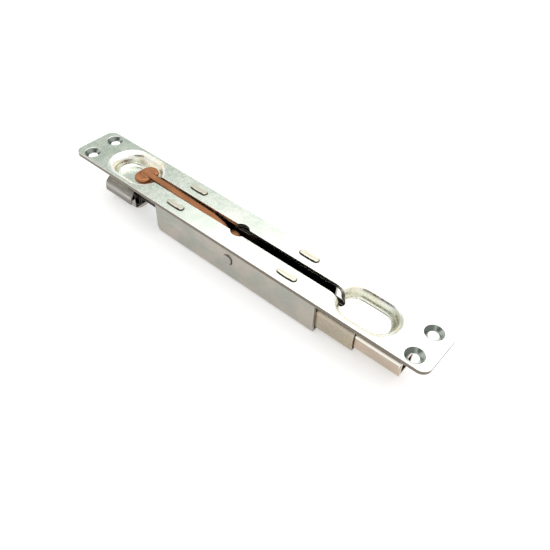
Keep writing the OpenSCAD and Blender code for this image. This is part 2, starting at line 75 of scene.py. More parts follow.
def linear(red: int, green: int, blue: int) -> Colour:
    """Turns a display colour into the linear one that a shader takes.

    Args:
        red: Red from 0 to 255.
        green: Green from 0 to 255.
        blue: Blue from 0 to 255.

    Returns:
        The linear colour with full alpha.
    """
    def channel(level: int) -> float:
        """Undoes the display curve of one channel.

        Args:
            level: The channel from 0 to 255.

        Returns:
            The linear channel.
        """
        share = level / 255
        return share / 12.92 if share <= 0.04045 else ((share + 0.055) / 1.055) ** 2.4

    return (channel(red), channel(green), channel(blue), 1.0)


class Body(Enum):
    """The rigid bodies of the mechanism."""

    FRAME = "frame"
    LEVER = "lever_body"
    BOLT = "bolt_body"


class Sheen(Enum):
    """How coarse the polish of a metal is."""

    MIRROR = 0.14
    BRIGHT = 0.22
    SATIN = 0.3
    DULL = 0.42


class ShaderGraph:
    """One procedural material, built node by node on Object coordinates."""

    def __init__(self, name: str) -> None:
        """Starts an empty material.

        Args:
            name: The material's name.
        """
        self.material = bpy.data.materials.new(name)
        self.material.use_nodes = True
        self.tree = self.material.node_tree
        self.tree.nodes.clear()
        self.place = self.add("ShaderNodeTexCoord").outputs["Object"]
        split = self.add("ShaderNodeSeparateXYZ", {"Vector": self.place})
        self.x, self.y, self.z = split.outputs[0], split.outputs[1], split.outputs[2]

    def add(self, kind: str, inputs: Optional[Dict[Union[str, int], Value]] = None,
            **settings: object) -> bpy.types.Node:
        """Adds a node and fills its inputs.

        Args:
            kind: The node's type.
            inputs: Numbers, colours or sockets by the input's name or place.
            **settings: The node's own properties.

        Returns:
            The new node.
        """
        node = self.tree.nodes.new(kind)
        for key, value in settings.items():
            setattr(node, key, value)
        for key, value in (inputs or {}).items():
            if isinstance(value, bpy.types.NodeSocket):
                self.tree.links.new(value, node.inputs[key])
            else:
                node.inputs[key].default_value = value
        return node

    def math(self, operation: str, first: Value, second: Value = 0.0,
             clamp: bool = False) -> Socket:
        """Works out one number from two.

        Args:
            operation: The kind of sum.
            first: The first number.
            second: The second number.
            clamp: Whether the result is held between 0 and 1.

        Returns:
            The result's socket.
        """
        inputs = {0: first, 1: second}
        return self.add("ShaderNodeMath", inputs, operation=operation,
                        use_clamp=clamp).outputs[0]

    def band(self, value: Value, low: float, high: float) -> Socket:
        """Rises smoothly from 0 to 1 as a value goes from low to high, or falls if low is higher.

        Args:
            value: The value that is read.
            low: Where the result is 0.
            high: Where the result is 1.

        Returns:
            The result's socket.
        """
        falls = low > high
        inputs = {"Value": value, "From Min": min(low, high), "From Max": max(low, high),
                  "To Min": float(falls), "To Max": float(not falls)}
        return self.add("ShaderNodeMapRange", inputs,
                        interpolation_type="SMOOTHSTEP").outputs[0]

    def mix(self, share: Value, first: Value, second: Value, blend: str = "MIX") -> Socket:
        """Mixes two colours.

        Args:
            share: How much of the second colour shows.
            first: The first colour.
            second: The second colour.
            blend: The way they are mixed.

        Returns:
            The mixed colour's socket.
        """
        return self.add("ShaderNodeMix", {0: share, 6: first, 7: second},
                        data_type="RGBA", blend_type=blend).outputs[2]

    def lay(self, colour: Value, top: Value, mask: Socket, share: float = 1.0,
            blend: str = "MIX") -> Socket:
        """Lays one colour over another where a mask lets it show.

        Args:
            colour: The colour below.
            top: The colour above.
            mask: Where the upper colour lies.
            share: How strongly it shows there.
            blend: The way they are mixed.

        Returns:
            The mixed colour's socket.
        """
        return self.mix(self.math("MULTIPLY", mask, share), colour, top, blend)

    def stretch(self, value: Value, reach: Tuple[float, float, float, float]) -> Socket:
        """Rises from 0 to 1 and falls back to 0 as a length grows.

        Args:
            value: The length in metres.
            reach: Where the rise begins and ends and the fall begins and ends, in mm.

        Returns:
            The result's socket.
        """
        start, full, fade, end = (length * MM for length in reach)
        return self.math("MULTIPLY", self.band(value, start, full), self.band(value, end, fade))

    def length(self, first: Socket, second: Socket) -> Socket:
        """Measures the long side of a right-angled triangle.

        Args:
            first: One short side.
            second: The other short side.

        Returns:
            The length's socket.
        """
        squares = [self.math("MULTIPLY", side, side) for side in (first, second)]
        return self.math("SQRT", self.math("ADD", *squares))

    def noise(self, size: float, detail: float = 3.0,
              stretch: Tuple[float, float, float] = (1.0, 1.0, 1.0),
              offset: float = 0.0, turn: float = 0.0) -> Socket:
        """Makes soft noise whose blotches have a real size.

        Args:
            size: The rough size of a blotch in mm.
            detail: How many finer layers it has.
            stretch: How much longer a blotch is along X, Y and Z.
            offset: Shift of the pattern, so that two of them differ.
            turn: Turn of the pattern about Z in degrees.

        Returns:
            The noise's socket, about 0.5 on average.
        """
        scale = tuple(1.0 / share for share in stretch)
        mapping = self.add("ShaderNodeMapping", {
            "Vector": self.place, "Location": (offset, offset * 0.7, offset * 0.3),
            "Rotation": (0.0, 0.0, math.radians(turn)), "Scale": scale})
        return self.add("ShaderNodeTexNoise", {
            "Vector": mapping.outputs[0], "Scale": 1.0 / (size * MM),
            "Detail": detail, "Roughness": 0.55}).outputs[0]

    def dots(self, size: float, radius: float, offset: float = 0.0) -> Socket:
        """Makes scattered round dots.

        Args:
            size: The rough distance between dots in mm.
            radius: A dot's radius in mm.
            offset: Shift of the pattern, so that two of them differ.

        Returns:
            The dots' socket, 1 inside a dot.
        """
        mapping = self.add("ShaderNodeMapping", {"Vector": self.place,
                                                 "Location": (offset, offset, offset)})
        cells = self.add("ShaderNodeTexVoronoi", {"Vector": mapping.outputs[0],
                                                  "Scale": 1.0 / (size * MM)})
        return self.band(cells.outputs["Distance"], radius / size, radius / size * 0.6)

    def edges(self, radius: float) -> Socket:
        """Finds the worn edges of a solid.

        Args:
            radius: How far the wear reaches from an edge in mm.

        Returns:
            The mask's socket, 1 on an edge.
        """
        rounded = self.add("ShaderNodeBevel", {"Radius": radius * MM}, samples=6)
        plain = self.add("ShaderNodeNewGeometry")
        cosine = self.add("ShaderNodeVectorMath", {0: rounded.outputs[0],
                                                   1: plain.outputs["Normal"]},
                          operation="DOT_PRODUCT").outputs["Value"]
        return self.band(cosine, 0.998, 0.93)

    def lean(self, axis: int) -> Socket:
        """Tells how far a surface leans along an axis.

        Args:
            axis: 0, 1 or 2 for X, Y or Z.

        Returns:
            The socket, 1 where the surface faces along the axis and -1 against it.
        """
        plain = self.add("ShaderNodeNewGeometry")
        return self.add("ShaderNodeSeparateXYZ", {"Vector": plain.outputs["Normal"]}).outputs[axis]

    def facing(self, axis: int) -> Socket:
        """Tells how squarely a surface faces either way along an axis.

        Args:
            axis: 0, 1 or 2 for X, Y or Z.

        Returns:
            The socket, from 0 to 1.
        """
        return self.math("ABSOLUTE", self.lean(axis))

    def close(self, colour: Value, roughness: Value, metallic: float,
              height: Optional[Socket] = None, relief: float = 0.0) -> bpy.types.Material:
        """Ends the material in one shader.

        Args:
            colour: The base colour.
            roughness: The roughness.
            metallic: 1 for bare or plated metal.
            height: The height of the surface's relief from 0 to 1.
            relief: What a height of 1 stands for in mm.

        Returns:
            The finished material.
        """
        inputs = {"Base Color": colour, "Roughness": roughness, "Metallic": metallic}
        if height is not None:
            bump = self.add("ShaderNodeBump", {"Strength": 1.0, "Distance": relief * MM,
                                               "Height": height})
            inputs["Normal"] = bump.outputs[0]
        shader = self.add("ShaderNodeBsdfPrincipled", inputs)
        self.add("ShaderNodeOutputMaterial", {"Surface": shader.outputs[0]})
        return self.material


@dataclass(frozen=True)
class MetalFinish:
    """A plated or bare metal with mottling, specks, fine scratches and worn edges.

    The mottling changes its tone over patch mm, grain is the size of the fine texture
    in mm, and relief is the depth of that texture in mm. Specks lie about speck_spacing
    mm apart and have a radius of speck_size mm, and wear says how far in mm an edge is
    worn. Each share says how strongly its layer shows, and the painted highlight share how
    strongly a painted highlight lies on the rounded upper edges.
    """

    name: str
    colour: Colour
    patch_colour: Colour
    worn_and_highlight_colour: Colour
    sheen: Sheen = Sheen.SATIN
    patch: float = 14.0
    grain: float = 0.55
    relief: float = 0.0014
    grain_share: float = 0.14
    grain_dark: Colour = linear(60, 60, 58)
    grain_light: Colour = linear(250, 250, 248)
    speck_colour: Colour = linear(70, 66, 60)
    speck_spacing: float = 1.7
    speck_size: float = 0.16
    speck_share: float = 0.5
    scratch_share: float = 0.35
    wear: float = 0.35
    wear_share: float = 0.7
    painted_highlight_share: float = 0.0
    seed: float = 0.0

    def tone(self, graph: ShaderGraph, colour: Socket) -> Socket:
        """Adds what only this finish has. The plain finish adds nothing.

        Args:
            graph: The material being built.
            colour: The colour so far.

        Returns:
            The colour with the additions.
        """
        return colour

    def material(self) -> bpy.types.Material:
        """Builds the material with all its layers.

        Returns:
            The finished material.
        """
        graph = ShaderGraph(self.name)
        patches = graph.band(graph.noise(self.patch, 4.0, offset=self.seed), 0.36, 0.66)
        colour = graph.mix(patches, self.colour, self.patch_colour)
        grain = graph.noise(self.grain, 2.0, offset=self.seed + 0.3)
        shade = graph.band(grain, 0.25, 0.75)
        colour = graph.mix(self.grain_share, colour,
                           graph.mix(shade, self.grain_dark, self.grain_light), "OVERLAY")
        scratches = self.scratches(graph)
        colour = graph.lay(colour, self.worn_and_highlight_colour, scratches, self.scratch_share)
        colour = self.tone(graph, colour)
        clusters = graph.band(graph.noise(9.0, 2.0, offset=self.seed + 0.8), 0.5, 0.7)
        dots = graph.dots(self.speck_spacing, self.speck_size, self.seed)
        specks = graph.math("MULTIPLY", dots, clusters)
        colour = graph.lay(colour, self.speck_colour, specks, self.speck_share)
        colour = graph.lay(colour, self.worn_and_highlight_colour, graph.edges(self.wear), self.wear_share)
        # Painted highlight: rounded edges that face partly upwards are brightened by their facing.
        upward = graph.lean(2)
        shoulder_highlight = graph.math("MULTIPLY", graph.band(upward, 0.04, 0.16),
                              graph.band(upward, 0.66, 0.42))
        colour = graph.lay(colour, self.worn_and_highlight_colour, shoulder_highlight, self.painted_highlight_share)
        rough = graph.math("MULTIPLY_ADD", shade, 0.08)
        rough.node.inputs[2].default_value = self.sheen.value
        rough = graph.math("SUBTRACT", rough, graph.math("MULTIPLY", scratches, 0.06))
        height = graph.math("SUBTRACT", grain, graph.math("MULTIPLY", specks, 0.8))
        return graph.close(colour, rough, 1.0, height, self.relief)

    def scratches(self, graph: ShaderGraph) -> Socket:
        """Makes the fine handling scratches of a tumbled part.

        Args:
            graph: The material being built.

        Returns:
            The mask's socket, 1 on a scratch.
        """
        along = graph.noise(0.5, 1.0, (26.0, 1.0, 1.0), self.seed + 1.1, 12.0)
        across = graph.noise(0.6, 1.0, (18.0, 1.0, 1.0), self.seed + 2.3, -58.0)
        lines = graph.math("MAXIMUM", graph.band(along, 0.66, 0.72),
                           graph.band(across, 0.68, 0.74))
        handled = graph.band(graph.noise(16.0, 1.0, offset=self.seed + 3.7), 0.42, 0.6)
        return graph.math("MULTIPLY", lines, handled)


@dataclass(frozen=True)
class PlateFinish(MetalFinish):
    """Bright zinc on the faceplate, with the passivation's film round the drawn recesses.

    Sizes are in mm. A recess lies recess_x from the middle and its centre line has the
    half length run. The reaches are distances from that line: the film and the painted
    highlight on the rim rise, stay and fall over four of them, and the painted shade on
    the end wall fades over two. The tab sizes give the painted shadow round the peened tabs,
    the hole place and the cone's reach give the countersinks and their painted shade, and
    the sheared edge is what lies outside the last four values.
    """

    film_colour: Colour = linear(252, 228, 168)
    rim_highlight_colour: Colour = linear(254, 255, 254)
    end_wall_shade_colour: Colour = linear(176, 172, 154)
    edge_colour: Colour = linear(118, 110, 100)
    seam_shadow_colour: Colour = linear(70, 64, 56)
    cone_shade_colour: Colour = linear(176, 184, 176)
    cone_deep_shade: Colour = linear(104, 110, 104)
    recess_x: float = 66.75
    run: float = 4.85
    film_reach: Tuple[float, float, float, float] = (6.0, 8.6, 10.4, 12.0)
    rim_highlight_reach: Tuple[float, float, float, float] = (8.4, 9.2, 10.6, 11.4)
    end_wall_shade_reach: Tuple[float, float] = (8.4, 9.0)
    tab_run: float = 3.45
    seam_shadow_reach: Tuple[float, float] = (1.54, 1.86)
    hole_place: Tuple[float, float] = (92.2, 7.0)
    cone_reach: Tuple[float, float] = (4.1, 4.3)
    edge_y: Tuple[float, float] = (11.6, 11.9)
    edge_x: Tuple[float, float] = (94.0, 95.0)

    def distance(self, graph: ShaderGraph, place: Tuple[float, float], run: float) -> Socket:
        """Measures how far a point lies from the nearest of four mirrored runs along X.

        Args:
            graph: The material being built.
            place: The middle of the run in mm, mirrored about both axes.
            run: Half the run's length in mm, 0 for a point.

        Returns:
            The distance's socket in metres.
        """
        along, across = (graph.math("ABSOLUTE", graph.math(
            "SUBTRACT", graph.math("ABSOLUTE", value), middle * MM))
            for value, middle in zip((graph.x, graph.y), place))
        past = graph.math("MAXIMUM", graph.math("SUBTRACT", along, run * MM), 0.0)
        return graph.length(past, across)

    def near(self, graph: ShaderGraph, distance: Socket, reach: Tuple[float, float]) -> Socket:
        """Tells whether a point lies near a line.

        Args:
            graph: The material being built.
            distance: The distance from the line in metres.
            reach: Up to where the result is 1 and from where it is 0, in mm.

        Returns:
            The mask's socket.
        """
        return graph.band(distance, reach[1] * MM, reach[0] * MM)

    def countersinks(self, graph: ShaderGraph, colour: Socket) -> Socket:
        """Paints shade into the cones of the screw holes, deeper on the side that faces along X.

        Args:
            graph: The material being built.
            colour: The colour so far.

        Returns:
            The colour with the toned cones.
        """
        near = self.near(graph, self.distance(graph, self.hole_place, 0.0), self.cone_reach)
        # Painted shade in the cones, deeper where they face along X.
        cone = graph.math("MULTIPLY", near, graph.band(graph.facing(2), 0.93, 0.85))
        tone = graph.mix(graph.band(graph.lean(0), 0.05, 0.5), self.cone_shade_colour, self.cone_deep_shade)
        return graph.mix(cone, colour, tone)

    def tone(self, graph: ShaderGraph, colour: Socket) -> Socket:
        """Tones the recesses' film, paints a highlight on their rims and shade on their end walls,
        paints shadow round the tabs and shade in the countersinks, and tones the sheared edges.

        Args:
            graph: The material being built.
            colour: The colour so far.

        Returns:
            The colour with the additions.
        """
        from_recess = self.distance(graph, (self.recess_x, 0.0), self.run)
        # Painted highlight along the rim of each recess.
        painted_rim_highlight = graph.stretch(from_recess, self.rim_highlight_reach)
        colour = graph.lay(colour, self.rim_highlight_colour, painted_rim_highlight, 0.8)
        # Painted shade on the recesses' end walls, which face against X.
        painted_end_wall_shade = graph.math("MULTIPLY", graph.band(graph.lean(0), -0.12, -0.45),
                              self.near(graph, from_recess, self.end_wall_shade_reach))
        colour = graph.lay(colour, self.end_wall_shade_colour, painted_end_wall_shade, 0.7)
        speckle = graph.band(graph.noise(1.2, 4.0, offset=self.seed + 5.0), 0.34, 0.66)
        drift = graph.band(graph.noise(11.0, 2.0, offset=self.seed + 6.1), 0.4, 0.62)
        ring = graph.math("MULTIPLY", graph.stretch(from_recess, self.film_reach), speckle)
        film = graph.math("MULTIPLY", ring, drift)
        colour = graph.lay(colour, self.film_colour, film, 0.65, "MULTIPLY")
        from_tab = self.distance(graph, TAB_PLACE, self.tab_run)
        # Painted shadow in a narrow ring round each tab head.
        seam_shadow = self.near(graph, from_tab, self.seam_shadow_reach)
        colour = graph.lay(colour, self.seam_shadow_colour, seam_shadow, 0.8)
        colour = self.countersinks(graph, colour)
        outline = graph.math("MAXIMUM", *(
            graph.band(graph.math("ABSOLUTE", value), low * MM, high * MM)
            for value, (low, high) in ((graph.y, self.edge_y), (graph.x, self.edge_x))))
        sheared = graph.band(graph.facing(2), 0.45, 0.12)
        return graph.mix(graph.math("MULTIPLY", sheared, outline), colour, self.edge_colour)


@dataclass(frozen=True)
class ChannelFinish(MetalFinish):
    """Zinc on a folded channel whose inside is painted dark as shade.

    The painted shade inside is taken from half_width mm off the middle and floor mm up, and
    what stands higher than top mm gets a painted highlight on top and painted shade on its
    sides. Painted shade also lies under the rim of the pivot pin, in a disc of pin_radius mm
    round pin_place along X and Z.
    """

    inside_shade_colour: Colour = linear(26, 24, 24)
    tab_top_highlight_colour: Colour = linear(214, 208, 192)
    tab_side_shade_colour: Colour = linear(82, 78, 68)
    top: float = 23.8
    half_width: float = 6.7
    floor: float = 1.5
    pin_place: Tuple[float, float] = (0.25, 11.6)
    pin_radius: float = 0.0

    def tone(self, graph: ShaderGraph, colour: Socket) -> Socket:
        """Paints shade on the channel's inner faces and round the pin's rim, and paints a
        highlight and shade on the tabs.

        Args:
            graph: The material being built.
            colour: The colour so far.

        Returns:
            The colour with the additions.
        """
        # Painted shade: the channel's inner faces are painted dark.
        between = graph.band(graph.math("ABSOLUTE", graph.y),
                             (self.half_width + 0.15) * MM, self.half_width * MM)
        above = graph.band(graph.z, (self.floor - 0.1) * MM, self.floor * MM)
        inside = graph.math("MULTIPLY", between, above)
        colour = graph.mix(inside, colour, self.inside_shade_colour)
        if self.pin_radius:
            # Painted shade in a ring round the pivot pin's rim on the wall.
            along, up = (graph.math("SUBTRACT", value, place * MM)
                         for value, place in zip((graph.x, graph.z), self.pin_place))
            disc = graph.band(graph.length(along, up), (self.pin_radius + 0.15) * MM,
                              (self.pin_radius - 0.15) * MM)
            rim = graph.math("MULTIPLY", graph.facing(1), disc)
            colour = graph.lay(colour, self.inside_shade_colour, rim, 0.85)
        # Painted highlight on the tab heads' tops and painted shade on their sides.
        upward = graph.band(graph.facing(2), 0.5, 0.85)
        peened = graph.mix(upward, self.tab_side_shade_colour, self.tab_top_highlight_colour)
        return graph.mix(graph.band(graph.z, self.top * MM, (self.top + 0.1) * MM), colour, peened)


@dataclass(frozen=True)
class CopperFinish(MetalFinish):
    """Satin copper plating on the lever, browner on the blade and darker towards the pivot.

    The head ends and the darker part begins at these places along X in mm, and each changes
    over its length in mm.
    """

    dark_colour: Colour = linear(120, 74, 46)
    blade_colour: Colour = linear(128, 84, 56)
    pivot_end_colour: Colour = linear(118, 90, 64)
    head_end: float = -56.0
    head_change: float = 4.0
    darker_from: float = -18.0
    darker_change: float = 18.0

    def tone(self, graph: ShaderGraph, colour: Socket) -> Socket:
        """Deepens the tone in brown clouds and along the blade.

        Args:
            graph: The material being built.
            colour: The colour so far.

        Returns:
            The colour with the additions.
        """
        clouds = graph.band(graph.noise(6.0, 3.0, (3.0, 1.0, 1.0), self.seed + 4.0), 0.4, 0.75)
        colour = graph.lay(colour, self.dark_colour, clouds, 0.5)
        blade = graph.band(graph.x, self.head_end * MM, (self.head_end + self.head_change) * MM)
        colour = graph.lay(colour, self.blade_colour, blade, 0.55)
        # Darker and duller towards the pivot.
        towards_pivot = graph.band(graph.x, self.darker_from * MM, (self.darker_from + self.darker_change) * MM)
        return graph.lay(colour, self.pivot_end_colour, towards_pivot, 0.6)


class Finishes:
    """All the metals of the flush bolt, each built once."""

    def __init__(self) -> None:
        """Builds the materials by the name of the record's slot."""
        zinc_worn_and_highlight = linear(238, 238, 232)
        drive_worn = linear(150, 146, 140)
        finishes: List[MetalFinish] = [
            PlateFinish("plate_zinc", linear(238, 237, 229), linear(221, 226, 217), zinc_worn_and_highlight,
                        Sheen.BRIGHT, patch=10.0, grain=1.7, grain_share=0.07, relief=0.0005,
                        speck_size=0.3, speck_share=0.95, seed=0.1),
            ChannelFinish("housing_zinc", linear(182, 175, 165), linear(165, 166, 157), zinc_worn_and_highlight,
                          Sheen.SATIN, patch=12.0, grain_share=0.1, scratch_share=0.2,
                          pin_radius=2.7, seed=0.4),
            ChannelFinish("guide_zinc", linear(182, 170, 150), linear(170, 162, 148), zinc_worn_and_highlight,
                          Sheen.BRIGHT, grain_share=0.08, half_width=5.6, floor=2.6, seed=0.7),
            # The bolt, and more weakly the socket, carry a painted highlight on their rounded
            # upper edges.
            MetalFinish("bolt_zinc", linear(200, 182, 162), linear(190, 176, 160), zinc_worn_and_highlight,
                        Sheen.MIRROR, grain_share=0.04, painted_highlight_share=0.8, seed=1.2),
            MetalFinish("socket_zinc", linear(134, 130, 122), linear(122, 118, 111), zinc_worn_and_highlight,
                        Sheen.MIRROR, grain_share=0.05, painted_highlight_share=0.2, seed=1.6),
            # The saddle's inside is painted near-black shade.
            ChannelFinish("saddle_zinc", linear(184, 178, 170), linear(174, 168, 160), zinc_worn_and_highlight,
                          Sheen.BRIGHT, grain_share=0.06, inside_shade_colour=linear(14, 13, 14),
                          half_width=5.05, floor=2.2, seed=2.0),
            # The near-black drive steel is partly painted shade: it stands for the shade inside
            # the housing as well as the steel's own dark tone.
            MetalFinish("drive_steel", linear(44, 42, 40), linear(34, 32, 30), drive_worn,
                        Sheen.DULL, seed=2.4),
            MetalFinish("rivet_steel", linear(186, 184, 178), linear(172, 170, 164), zinc_worn_and_highlight,
                        Sheen.SATIN, seed=2.8),
            MetalFinish("pin_steel", linear(168, 164, 158), linear(150, 148, 142), zinc_worn_and_highlight,
                        Sheen.SATIN, seed=3.2),
            CopperFinish("lever_copper", linear(190, 132, 92), linear(172, 116, 80),
                         linear(214, 160, 122), Sheen.DULL, speck_share=0.2, seed=3.6),
        ]
        self.by_slot: Dict[str, bpy.types.Material] = {f.name: f.material() for f in finishes}


@dataclass(frozen=True)
class BrokenEdges:
    """Rounds the sharp edges of a copy of a solid, as tumbling and plating do.

    The radius is in mm. Only edges sharper than angle degrees are rounded, and faces
    that turn by less than flat degrees are joined first.
    """

    radius: float
    segments: int = 2
    angle: float = 38.0
    flat: float = 0.4

    def copy_of(self, node: bpy.types.Object) -> bpy.types.Object:
        """Makes a rounded copy of a CAD node that stands for it.

        Args:
            node: The CAD node.

        Returns:
            The new piece.
        """
        shape = bmesh.new()
        shape.from_mesh(node.data)
        bmesh.ops.remove_doubles(shape, verts=shape.verts, dist=1e-6)
        bmesh.ops.dissolve_limit(shape, angle_limit=math.radians(self.flat),
                                 use_dissolve_boundaries=False, verts=shape.verts,
                                 edges=shape.edges, delimit=set())
        sharp = [e for e in shape.edges if e.is_manifold
                 and e.calc_face_angle(0.0) > math.radians(self.angle)]
        bmesh.ops.bevel(shape, geom=sharp, offset=self.radius * MM, offset_type="OFFSET",
                        affect="EDGES", segments=self.segments, profile=0.5, material=-1,
                        clamp_overlap=False, miter_outer="SHARP", miter_inner="SHARP",
                        loop_slide=True)
        mesh = bpy.data.meshes.new(node.name + "_finished")
        shape.to_mesh(mesh)
        shape.free()
        mesh.shade_smooth()
        mesh.set_sharp_from_angle(angle=SMOOTH_UP_TO)
        piece = bpy.data.objects.new(node.name + "_finished", mesh)
        bpy.context.scene.collection.objects.link(piece)
        weigh = piece.modifiers.new("flat_faces", "WEIGHTED_NORMAL")
        weigh.keep_sharp = True
        return piece


@dataclass(frozen=True)
class PeenedTabs:
    """The hammered ends of the four riveting tabs, with round corners and a domed top.

    Lengths are in mm: the height at which a tab's shank ends, how far the end runs into
    it, the size of the end, and the radii of its corners and of its dome.
    """

    shank: float = 23.85
    lap: float = 0.01
    size: Tuple[float, float, float] = (9.7, 2.75, 0.76)
    corner: float = 1.33
    dome: float = 0.4

    def one(self, shape: bmesh.types.BMesh, centre: Vector) -> None:
        """Adds one peened end.

        Args:
            shape: The mesh that it joins.
            centre: The middle of its underside in metres.
        """
        place = Matrix.Translation(centre + Vector((0.0, 0.0, self.size[2] * MM / 2)))
        scale = Matrix.Diagonal((*(length * MM for length in self.size), 1.0))
        block = bmesh.ops.create_cube(shape, size=1.0, matrix=place @ scale)
        edges = {e for v in block["verts"] for e in v.link_edges}
        upright = [e for e in edges if abs(e.verts[0].co.z - e.verts[1].co.z) > 0.3 * MM]
        rounded = bmesh.ops.bevel(shape, geom=upright, offset=self.corner * MM, affect="EDGES",
                                  segments=5, profile=0.5, material=-1)
        faces = set(rounded["faces"]) | {f for e in edges if e.is_valid for f in e.link_faces}
        top = centre.z + self.size[2] * MM
        rim = {e for f in faces for e in f.edges
               if all(abs(v.co.z - top) < 1e-6 for v in e.verts)
               and len({round(g.normal.z) for g in e.link_faces}) == 2}
        bmesh.ops.bevel(shape, geom=list(rim), offset=self.dome * MM, affect="EDGES",
                        segments=4, profile=0.5, material=-1)

    def put_on(self, piece: bpy.types.Object) -> None:
        """Gives the housing's copy its hammered ends in place of the square ones.

        Args:
            piece: The copy of the housing.
        """
        shape = bmesh.new()
        shape.from_mesh(piece.data)
        cut = bmesh.ops.bisect_plane(shape, geom=shape.verts[:] + shape.edges[:] + shape.faces[:],
                                     plane_co=(0.0, 0.0, self.shank * MM),
                                     plane_no=(0.0, 0.0, 1.0), clear_outer=True)
        bmesh.ops.holes_fill(shape, edges=[g for g in cut["geom_cut"]
                                           if isinstance(g, bmesh.types.BMEdge)])
        for side_x in (-1, 1):
            for side_y in (-1, 1):
                self.one(shape, Vector((side_x * TAB_PLACE[0], side_y * TAB_PLACE[1],
                                        self.shank - self.lap)) * MM)
        for f in shape.faces:
            f.smooth = True
        shape.to_mesh(piece.data)
        shape.free()
        piece.data.set_sharp_from_angle(angle=SMOOTH_UP_TO)


@dataclass
class SubAssembly:
    """A group of CAD nodes that move together and are dressed in one go.

    The slots give each node's material slot, and edges gives the edge radius in mm of
    the nodes that are shown as a rounded copy.
    """

    name: str
    body: Body
    slots: Dict[str, str]
    edges: Dict[str, float] = field(default_factory=dict)

    def dress(self, nodes: Dict[str, bpy.types.Object], finishes: Finishes) -> None:
        """Gives every node its finish, and its rounded copy where it has one.

        Args:
            nodes: The CAD nodes by name.
            finishes: The materials.
        """
        for name, slot in self.slots.items():
            node = nodes[name]
            if name in self.edges:
                piece = BrokenEdges(self.edges[name]).copy_of(node)
                self.refine(name, piece)
                piece.data.materials.clear()
                piece.data.materials.append(finishes.by_slot[slot])
                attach(piece, self.body.value)
                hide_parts(name)
            else:
                for place in node.material_slots:
                    place.material = finishes.by_slot[slot]
            LOG.info("%s: %s in %s", self.name, name, slot)

    def refine(self, name: str, piece: bpy.types.Object) -> None:
        """Adds what only one node's copy has. A plain group adds nothing.

        Args:
            name: The node's name.
            piece: Its rounded copy.
        """


@dataclass
class FixedCase(SubAssembly):
    """The faceplate with the housing, the front guide and the pivot."""

    name: str = "fixed case"
    body: Body = Body.FRAME
    slots: Dict[str, str] = field(default_factory=lambda: {
        "faceplate": "plate_zinc", "housing": "housing_zinc", "front_guide": "guide_zinc",
        "guide_rivets": "rivet_steel", "pivot_pin": "pin_steel", "pivot_spacers": "pin_steel"})
    edges: Dict[str, float] = field(default_factory=lambda: {
        "faceplate": 0.2, "housing": 0.2, "front_guide": 0.15})
    tabs: PeenedTabs = PeenedTabs()

    def refine(self, name: str, piece: bpy.types.Object) -> None:
        """Puts the peened tabs on the housing.

        Args:
            name: The node's name.
            piece: Its rounded copy.
        """
        if name == "housing":
            self.tabs.put_on(piece)


@dataclass
class HandLever(SubAssembly):
    """The lever with its washers and the crank pin."""

    name: str = "hand lever"
    body: Body = Body.LEVER
    slots: Dict[str, str] = field(default_factory=lambda: {
        "lever": "lever_copper", "lever_washers": "pin_steel", "crank_pin": "pin_steel"})
    edges: Dict[str, float] = field(default_factory=lambda: {"lever": 0.3})


@dataclass
class BoltTrain(SubAssembly):
    """The bolt, the drive plates that pull it and the rear socket."""

    name: str = "bolt train"
    body: Body = Body.BOLT
    slots: Dict[str, str] = field(default_factory=lambda: {
        "bolt": "bolt_zinc", "bolt_block": "drive_steel", "bolt_rivets": "bolt_zinc",
        "drive_plate_near": "drive_steel", "drive_plate_far": "drive_steel",
        "drive_spacer": "drive_steel", "tail_shell": "socket_zinc",
        "tail_saddle": "saddle_zinc", "tail_block": "drive_steel",
        "tail_pins": "rivet_steel", "tail_rivet": "rivet_steel"})
    edges: Dict[str, float] = field(default_factory=lambda: {
        "bolt": 0.2, "tail_shell": 0.15, "tail_saddle": 0.15})


@dataclass(frozen=True)
class Viewpoint:
    """The camera, placed as the photograph was taken.

    The rows are unit vectors to the right, down and forward of the camera, and the
    focal length is in pixels of a square picture.
    """

    place: Tuple[float, float, float] = (0.13386, -0.14349, 0.19895)
    right: Tuple[float, float, float] = (0.75771455, 0.65187171, 0.03052759)
    down: Tuple[float, float, float] = (0.48496277, -0.53116965, -0.6947445)
    forward: Tuple[float, float, float] = (-0.43666895, 0.54122276, -0.71860848)
    focal: float = 604.87
    picture: float = 550.0
    centre: Tuple[float, float] = (270.48, 274.81)

    def build(self) -> None:
        """Makes the camera and sets it as the scene's."""
        data = bpy.data.cameras.new("viewpoint")
        data.sensor_width = 36.0
        data.lens = self.focal / self.picture * data.sensor_width
        data.shift_x = (self.picture / 2 - self.centre[0]) / self.picture
        data.shift_y = (self.centre[1] - self.picture / 2) / self.picture
        data.clip_start = 0.01
        camera = bpy.data.objects.new("viewpoint", data)
        bpy.context.scene.collection.objects.link(camera)
        axes = Matrix((self.right, -Vector(self.down), -Vector(self.forward))).transposed()
        camera.matrix_world = Matrix.Translation(self.place) @ axes.to_4x4()
        bpy.context.scene.camera = camera


@dataclass(frozen=True)
class SoftBox:
    """One soft lamp: its place and size in metres, its turn in degrees and its brightness."""

    name: str
    place: Tuple[float, float, float]
    size: Tuple[float, float]
    turn: float
    brightness: float

    def build(self) -> None:
        """Makes the lamp, unseen by the camera itself. It hangs level and looks down."""
        data = bpy.data.lights.new(self.name, "AREA")
        data.shape = "RECTANGLE"
        data.size, data.size_y = self.size
        data.energy = self.brightness * math.pi * self.size[0] * self.size[1]
        lamp = bpy.data.objects.new(self.name, data)
        bpy.context.scene.collection.objects.link(lamp)
        lamp.matrix_world = (Matrix.Translation(self.place)
                             @ Matrix.Rotation(math.radians(self.turn), 4, "Z"))
        lamp.visible_camera = False


